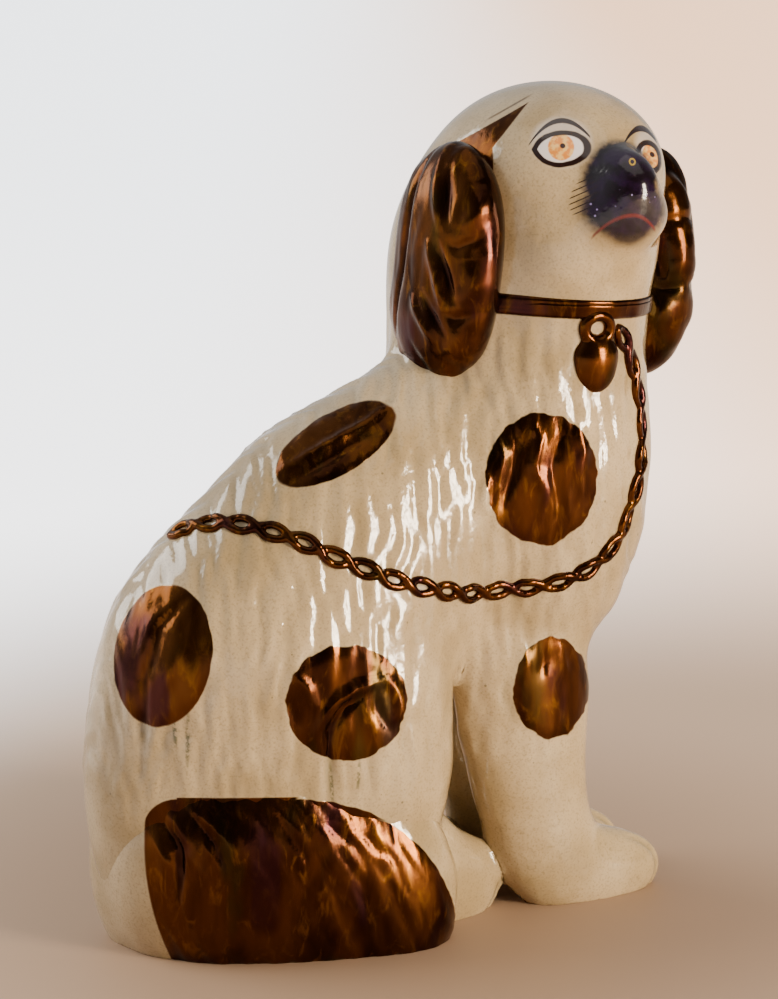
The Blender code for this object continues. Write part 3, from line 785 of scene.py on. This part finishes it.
def finished_skin(name, lustre_mask_makers, with_face):
    """The decorated glaze: the lustre lies where any of the masks says so."""
    material, tree, shader = new_material(name)
    sheet = placed(tree, SHEET_GROUP)
    hollow = tree.nodes.new("ShaderNodeAttribute")
    hollow.attribute_name = "hollow"
    glaze = placed(tree, GLAZE_GROUP, Place=sheet["Place"], Hollow=hollow.outputs["Fac"])
    film = placed(tree, LUSTRE_GROUP, Place=sheet["Place"])
    colour = glaze["Colour"]
    mask = either(tree, *[maker(tree, sheet) for maker in lustre_mask_makers])
    coat = value(tree, "MULTIPLY_ADD", mask, -0.6, 0.6)
    if with_face:
        colour = mixed(tree, times(tree, drips(tree, sheet), 0.8), colour, (0.045, 0.055, 0.018))
        colour, muzzle = face_drawing(tree, sheet, colour)
        coat = value(tree, "MULTIPLY_ADD", muzzle, -0.5, coat, clamp=True)
    # Painted shade: the copper is painted near black where the relief lies deep.
    deep = ramp(tree, hollow.outputs["Fac"], 0.3, 1.5, 0.0, 0.75)
    copper = mixed(tree, deep, film["Colour"], (0.010, 0.004, 0.005))
    tree.links.new(mixed(tree, mask, colour, copper), shader.inputs["Base Color"])
    tree.links.new(times(tree, mask, 0.96), shader.inputs["Metallic"])
    bump = tree.nodes.new("ShaderNodeBump")
    bump.inputs["Strength"].default_value = 0.8
    bump.inputs["Distance"].default_value = MM
    for label, node in (("Roughness", shader), ("Height", bump)):
        blend = tree.nodes.new("ShaderNodeMix")
        for place, given in ((0, mask), (2, glaze[label]), (3, film[label])):
            tree.links.new(given, blend.inputs[place])
        tree.links.new(blend.outputs[0], node.inputs[label])
    tree.links.new(coat, shader.inputs["Coat Weight"])
    shader.inputs["Coat Roughness"].default_value = 0.05
    tree.links.new(bump.outputs[0], shader.inputs["Normal"])
    return material


def lustre_behind_tail(tree, sheet):
    """The brush's lustre runs a little way onto the skin it is luted to."""
    along, _ = along_and_above(tree, sheet["Flank"])
    return both(tree, tail_lustre(tree, sheet), ramp(tree, along, 18.0, 12.0))


skin.data.materials.append(finished_skin(
    "decorated_glaze", [lustre_patches, lustre_behind_tail, ear_root_lustre], with_face=True))


# ------------------------------------ the tail
# A separate press-moulding, luted on from the rump round the right haunch. Its root is left cream and the
# brush is covered with lustre over tooled partings.
TAIL_GROOVES = [
    ([(-67, 43), (-61, 33), (-61, 20), (-62, 9)], 2.0, -2.0),
    ([(-72, 40), (-67, 28), (-66, 14)], 2.4, 0.8),
    ([(-55, 45), (-47, 34), (-42, 19)], 1.8, -1.5),
    ([(-51, 46), (-43, 36), (-37, 22)], 2.4, 0.8),
    ([(-10, 44), (4, 34), (12, 20)], 1.6, -0.7),
    ([(-24, 45), (-14, 30), (-8, 12)], 1.8, -0.7),
    ([(4, 40), (18, 28), (26, 12)], 1.5, -0.7),
]


def tail_relief(points):
    flat = np.column_stack((points @ ALONG, points @ ABOVE))
    slanted = flat[:, 0] * 0.9 + flat[:, 1] * 0.45
    relief = 0.22 * np.cos((slanted + 2.5 * sway(flat[:, 1], 9.0, 1.1)) / 9.4 * 2 * math.pi)
    relief += 0.08 * np.cos((slanted + 2.0 * sway(flat[:, 1], 7.0, 3.1)) / 4.1 * 2 * math.pi)
    relief *= within(flat[:, 0], -70, 90, 8)
    for stops, width, height in TAIL_GROOVES:
        relief += stroke(flat, stops, width, height)
    return relief


tail = modelled("tail_brush", [([
    lump(-71, 15, 30, 28, 24, 46),
    lump(-71, -4, 38, 26, 20, 45),
    lump(-56, -18, 38, 28, 20, 46),
    lump(-34, -27, 38, 30, 19, 46),
    lump(-10, -31, 30, 31, 18, 43),
    lump(9, -34, 16, 21, 16, 33),
], 5.5)], 2.5, 1.4)
press(tail, tail_relief)
stand_on_table(tail)
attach(tail, "root")
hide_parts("tail")
tail.data.materials.append(finished_skin("decorated_brush", [tail_lustre], with_face=False))


# ------------------------------------ the ears
# Long hanging ears, pressed by themselves and luted to the sides of the head, with a rolled back edge and
# curls down the front edge, all under lustre.
EAR_TOOLING = [  # stops in mm ahead of the head's axis and up, width, height
    ([(-5, 302), (-9, 288), (-12, 266), (-15, 244), (-18, 222)], 1.9, -2.5),
    ([(-12, 302), (-18, 284), (-21, 262), (-24, 240), (-25, 222)], 3.0, 1.6),
    ([(3, 297), (6, 285), (9, 274)], 2.0, 1.5),
    ([(8, 298), (11, 286), (13, 274)], 1.7, -1.4),
    ([(4, 267), (8, 256), (12, 243)], 1.9, 1.6),
    ([(9, 267), (13, 256), (16, 246)], 1.6, -1.4),
    ([(-3, 246), (2, 238), (8, 230)], 1.8, 1.3),
    ([(3, 248), (8, 240), (13, 232)], 1.6, -1.2),
    ([(-4, 228), (0, 220), (3, 212)], 1.8, -0.9),
    ([(18, 290), (21, 280), (19, 272)], 3.2, 1.5),
    ([(20, 262), (21, 252), (18, 244)], 3.0, 1.4),
    ([(17, 236), (15, 228), (11, 222)], 3.0, 1.2),
    ([(23, 270), (17, 266), (14, 268)], 1.8, -0.8),
    ([(22, 242), (16, 239), (13, 242)], 1.8, -0.8),
]


def ear_relief(points, side):
    from_axis = points - np.array(HEAD_AXIS)
    ahead, aside = from_axis @ np.array(FACING), from_axis @ np.array(HEAD_LEFT) * side
    flat = np.column_stack((ahead, points[:, 2]))
    relief = 0.25 * locks(flat, 7.0, 2.6)
    for stops, width, height in EAR_TOOLING:
        relief += stroke(flat, stops, width, height)
    return relief * within(aside, 44, 90, 6)


def all_over(tree, sheet):
    """Lustre everywhere but for a few thin spots where the noise runs low."""
    return ramp(tree, noise(tree, sheet["Place"], 0.3, 3.0), 0.10, 0.22)


ear_lustre = finished_skin("ear_lustre", [all_over], with_face=False)


def ear(side):
    hand = "right" if side < 0 else "left"
    name = hand + "_ear_flap"
    back, out, top = (0, 0, 303) if side < 0 else (5, 9, 294)  # the far ear sits further back, out and lower
    flap = modelled(name, [([
        on_head(side * (45 + out), 1 - back, top - 24.8, 12, 19, 24.8),
        on_head(side * (47 + out), -back, top - 46, 12, 24, 34),
        on_head(side * (50 + out / 3), -4 - back / 5, top - 69.9, 12, 20, 21.6),
    ], 5.5)], 2.5, 1.1)
    press(flap, lambda points: ear_relief(points, side))
    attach(flap, "root")
    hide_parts(hand + "_ear")
    flap.data.materials.append(ear_lustre)


for side in (-1, 1):
    ear(side)


# ------------------------------------ the collar, the padlock and the chain
# Sprigs and strips of clay laid on the finished form in relief and picked out in lustre: a plain band across
# the throat, an oval lock on its shackle, and two strands that cross like the links of a chain.
from mathutils.bvhtree import BVHTree

COLLAR_SWEEP = math.radians(66)
COLLAR_RISE = 3.6  # mm that the collar climbs towards the right ear
OUTSIDE = 200 * MM  # well clear of the throat
LOCK_ANGLE = math.radians(-11.5)  # the lock hangs a little to the right of the face
graph = bpy.context.evaluated_depsgraph_get()
skin_surface = BVHTree.FromObject(skin, graph)


def throat(angle, level):
    """The skin's place at a level, round from the middle of the face, and the way out; in metres."""
    out = (Matrix.Rotation(angle, 3, "Z") @ FACING).normalized()
    start = STANCE + Vector((HEAD_AXIS.x, 0, level - COLLAR_RISE * math.sin(angle))) * MM
    place, _, _, _ = skin_surface.ray_cast(start + out * OUTSIDE, -out)
    return place, out


def finish_sprig(piece, node):
    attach(piece, "root")
    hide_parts(node)
    piece.data.materials.append(sprig_lustre)


sprig_lustre = finished_skin("sprig_lustre", [all_over], with_face=False)


def collar_band():
    """A flat strip wrapped onto the throat: its edges are sunk in and its middle stands proud."""
    middle, half_width, relief, sunk, strip = 239.6, 3.4, 1.6, 0.35, 1.5
    shape = bmesh.new()
    bmesh.ops.create_grid(shape, x_segments=96, y_segments=8, size=1.0)
    for vertex in shape.verts:
        angle, level = vertex.co.x * COLLAR_SWEEP, vertex.co.y
        place, out = throat(angle, middle + level * half_width)
        proud = relief * (1 - level ** 8) - sunk
        vertex.co = place + out * proud * MM
    bmesh.ops.solidify(shape, geom=shape.faces[:], thickness=-strip * MM)
    bmesh.ops.recalc_face_normals(shape, faces=shape.faces[:])
    band = in_scene("collar_band", closed(shape, "collar_band"))
    band.data.shade_smooth()
    return band


finish_sprig(collar_band(), "collar")


def to_lump(place, out, half_across, half_out, half_up):
    """A lump on the skin at a place in metres, turned the way that part of the skin faces."""
    spot = (place - STANCE) / MM
    turned = Matrix.Rotation(math.atan2(out.y, out.x), 3, "Z")
    return spot, Vector((half_out, half_across, half_up)), turned


def padlock_lumps():
    lumps = []
    for level, across, proud, up in ((223.0, 9.0, 4.6, 7.0), (217.5, 8.3, 4.6, 9.5)):
        place, out = throat(LOCK_ANGLE, level)
        lumps.append(to_lump(place, out, across, proud, up))
    return lumps


def shackle_lumps():
    """A ring of small lumps, narrower than it is high."""
    steps, middle, half_height, half_angle, wire = 22, 233.0, 5.2, 0.135, 1.9
    lumps = []
    for step in range(steps):
        turn = 2 * math.pi * step / steps
        place, out = throat(LOCK_ANGLE + math.sin(turn) * half_angle, middle + math.cos(turn) * half_height)
        lumps.append(to_lump(place, out, wire, 2.1, wire))
    return lumps


padlock = modelled("padlock_sprig", [(padlock_lumps(), 1.5), (shackle_lumps(), 0.6)], 0.7, 0.6)
finish_sprig(padlock, "padlock")

CHAIN_STOPS = [
    (96, -41, 233), (103, -38, 224), (108, -34, 210), (111, -33, 194), (110, -36, 179), (106, -38, 164),
    (98, -41, 149), (87, -42, 140), (73, -42, 135), (57, -40, 133), (40, -40, 134), (21, -43, 139),
    (3, -45, 145), (-11, -44, 151), (-23, -40, 157), (-33, -34, 162), (-44, -27, 166), (-53, -19, 168),
    (-62, -8, 166), (-70, 3, 160),
]
LINK_LENGTH = 12.6 * MM
LINK_WIDTH = 8.6 * MM
STRAND = 1.7 * MM
STEPS_PER_LINK = 12
STEPS_PER_STOP = 20


def chain_route():
    """Close, even steps along the chain's line, each on the skin, with the way out."""
    stops = [skin_surface.find_nearest(STANCE + Vector(stop) * MM)[0] for stop in CHAIN_STOPS]
    ends = [stops[0] * 2 - stops[1]] + stops + [stops[-1] * 2 - stops[-2]]
    fine = []
    for index in range(1, len(ends) - 2):
        before, start, finish, after = ends[index - 1:index + 3]
        for step in range(STEPS_PER_STOP):
            t = step / STEPS_PER_STOP
            spot = 0.5 * (2 * start + (finish - before) * t
                          + (2 * before - 5 * start + 4 * finish - after) * t * t
                          + (3 * start - before - 3 * finish + after) * t ** 3)
            fine.append(skin_surface.find_nearest(spot)[0])
    fine.append(stops[-1])
    runs = [0.0]
    for first, second in zip(fine, fine[1:]):
        runs.append(runs[-1] + (second - first).length)
    links = round(runs[-1] / LINK_LENGTH)
    marks = np.linspace(0, runs[-1], links * STEPS_PER_LINK + 1)
    even = np.column_stack([np.interp(marks, runs, [spot[axis] for spot in fine]) for axis in range(3)])
    for _ in range(6):
        even[1:-1] = even[1:-1] * 0.5 + (even[:-2] + even[2:]) * 0.25
    return [skin_surface.find_nearest(Vector(spot))[:2] for spot in even]


def chain_relief():
    """Both strands as cords laid on the skin, run together into one soft casting."""
    route = chain_route()
    shape = bmesh.new()
    for hand in (1, -1):
        curve = bpy.data.curves.new("strand", "CURVE")
        curve.dimensions = "3D"
        curve.bevel_depth = STRAND
        curve.bevel_resolution = 2
        curve.use_fill_caps = True
        spline = curve.splines.new("POLY")
        spline.points.add(len(route) - 1)
        for index, (place, normal) in enumerate(route):
            before, after = route[max(index - 1, 0)][0], route[min(index + 1, len(route) - 1)][0]
            side = (after - before).normalized().cross(normal)
            swing = math.sin(math.pi * index / STEPS_PER_LINK)
            swing = math.copysign(abs(swing) ** 0.75, swing) * (LINK_WIDTH / 2 - STRAND) * hand
            lift = 0.35 * MM + 0.3 * MM * hand * math.cos(math.pi * index / STEPS_PER_LINK)
            spline.points[index].co = (*(place + side * swing + normal * lift), 1.0)
        strand = in_scene("strand", curve)
        graph = bpy.context.evaluated_depsgraph_get()
        made = bpy.data.meshes.new_from_object(strand.evaluated_get(graph))
        shape.from_mesh(made)
        bpy.data.meshes.remove(made)
        bpy.data.objects.remove(strand)
        bpy.data.curves.remove(curve)
    bmesh.ops.remove_doubles(shape, verts=shape.verts[:], dist=0.01 * MM)
    bmesh.ops.recalc_face_normals(shape, faces=shape.faces[:])
    piece = in_scene("chain_relief", closed(shape, "chain_relief"))
    one_skin(piece, 0.55)
    smooth = piece.modifiers.new("softened", "SMOOTH")
    smooth.factor = 0.5
    smooth.iterations = 3
    apply_modifiers(piece)
    piece.data.shade_smooth()
    return piece


finish_sprig(chain_relief(), "chain")


# ------------------------------------ the base slab
# The flat slab of clay that closes the figure from below, left unglazed where it stands.
def bare_clay():
    material, tree, shader = new_material("bare_biscuit")
    place = tree.nodes.new("ShaderNodeTexCoord").outputs["Object"]
    cloud = noise(tree, place, 60.0, 4.0)
    colour = mixed(tree, ramp(tree, cloud, 0.35, 0.65), (0.58, 0.47, 0.33), (0.68, 0.58, 0.44))
    grit = noise(tree, place, 900.0, 3.0)
    colour = mixed(tree, ramp(tree, grit, 0.58, 0.72, 0.0, 0.5), colour, (0.36, 0.26, 0.17))
    tree.links.new(colour, shader.inputs["Base Color"])
    tree.links.new(ramp(tree, cloud, 0.3, 0.7, 0.68, 0.88), shader.inputs["Roughness"])
    bump = tree.nodes.new("ShaderNodeBump")
    bump.inputs["Distance"].default_value = 0.3 * MM
    tree.links.new(grit, bump.inputs["Height"])
    tree.links.new(bump.outputs[0], shader.inputs["Normal"])
    return material


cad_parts["base_slab"].data.materials.clear()
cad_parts["base_slab"].data.materials.append(bare_clay())


# ------------------------------------ the room
# A plain table, tan near the figure and paler further out, whose far part glows as painted light: a bright
# backdrop to the camera and fill light on the figure. It runs out into a pale room, with a broad soft window
# behind on the left, and a barred window far off on the right that breaks up into small bright panes on the
# glaze.
def add_table():
    shape = bmesh.new()
    bmesh.ops.create_circle(shape, cap_ends=True, segments=96, radius=14.0)
    table = in_scene("table", closed(shape, "table"))
    material, tree, shader = new_material("table_top")
    place = tree.nodes.new("ShaderNodeTexCoord").outputs["Object"]
    away = vector(tree, "LENGTH", place, output="Value")
    colour = mixed(tree, ramp(tree, away, 0.10, 0.32), (0.40, 0.265, 0.17), (0.62, 0.44, 0.31))
    tree.links.new(colour, shader.inputs["Base Color"])
    # Painted light: past the figure the table glows, bright as a backdrop to the camera and dimmer as fill
    # light on the figure, bluish white to the left and warm to the right.
    across = vector(tree, "DOT_PRODUCT", place, (0.906, -0.423, 0.0), output="Value")
    path = tree.nodes.new("ShaderNodeLightPath")
    rightward = ramp(tree, across, -0.20, 0.40)
    seen = mixed(tree, rightward, (2.9, 3.1, 3.3), (2.3, 1.35, 0.78))
    felt = mixed(tree, rightward, (0.72, 0.74, 0.77), (0.68, 0.56, 0.45))
    light = mixed(tree, path.outputs["Is Camera Ray"], felt, seen)
    reach = value(tree, "MULTIPLY_ADD", across, -0.30, away)
    glow = mixed(tree, ramp(tree, reach, 0.26, 0.78), (0.0, 0.0, 0.0), light)
    tree.links.new(glow, shader.inputs["Emission Color"])
    shader.inputs["Emission Strength"].default_value = 1.0
    shader.inputs["Roughness"].default_value = 0.6
    table.data.materials.append(material)


def add_window(name, place, aim, width, height, power, colour):
    light = bpy.data.lights.new(name, "AREA")
    light.shape = "RECTANGLE"
    light.size, light.size_y = width, height
    light.energy = power
    light.color = colour
    point_at(in_scene(name, light), place, aim)


def add_barred_window():
    """Two columns of three panes, with the dark bars between them."""
    pane_width, pane_height, column_pitch, row_pitch, power = 0.19, 0.24, 0.24, 0.29, 12.0
    middle, aim = Vector((0.95, -1.55, 0.42)), Vector((0, 0, 0.15))
    along = (aim - middle).cross(Vector((0, 0, 1))).normalized()
    up = along.cross(aim - middle).normalized()
    for column in (-0.5, 0.5):
        for row in (-1, 0, 1):
            spot = middle + along * column * column_pitch + up * row * row_pitch
            add_window(f"pane_{column}_{row}", spot, spot + (aim - middle), pane_width, pane_height, power,
                       (1.0, 0.84, 0.64))


def add_room_light():
    world = bpy.data.worlds.new("room")
    bpy.context.scene.world = world
    world.use_nodes = True
    tree = world.node_tree
    seen = tree.nodes["Background"]
    seen.inputs[0].default_value = (0.92, 0.92, 0.93, 1)
    seen.inputs[1].default_value = 1.0
    felt = tree.nodes.new("ShaderNodeBackground")
    felt.inputs[1].default_value = 1.0
    way = tree.nodes.new("ShaderNodeTexCoord").outputs["Generated"]
    towards = vector(tree, "DOT_PRODUCT", way, (-0.45, 0.85, 0.27), output="Value")
    brightness = mixed(tree, ramp(tree, towards, -0.5, 0.9), (0.085, 0.07, 0.055), (0.68, 0.68, 0.69))
    tree.links.new(brightness, felt.inputs[0])
    choice = tree.nodes.new("ShaderNodeMixShader")
    path = tree.nodes.new("ShaderNodeLightPath")
    tree.links.new(path.outputs["Is Camera Ray"], choice.inputs[0])
    tree.links.new(felt.outputs[0], choice.inputs[1])
    tree.links.new(seen.outputs[0], choice.inputs[2])
    tree.links.new(choice.outputs[0], tree.nodes["World Output"].inputs[0])


add_table()
add_room_light()
add_window("soft_window", (-1.3, 0.9, 1.0), (0, 0, 0.15), 1.3, 1.3, 34, (1.0, 0.97, 0.92))
add_window("ceiling", (0.3, -0.5, 1.9), (0, 0, 0.1), 1.6, 1.6, 7, (1.0, 0.93, 0.84))
add_barred_window()
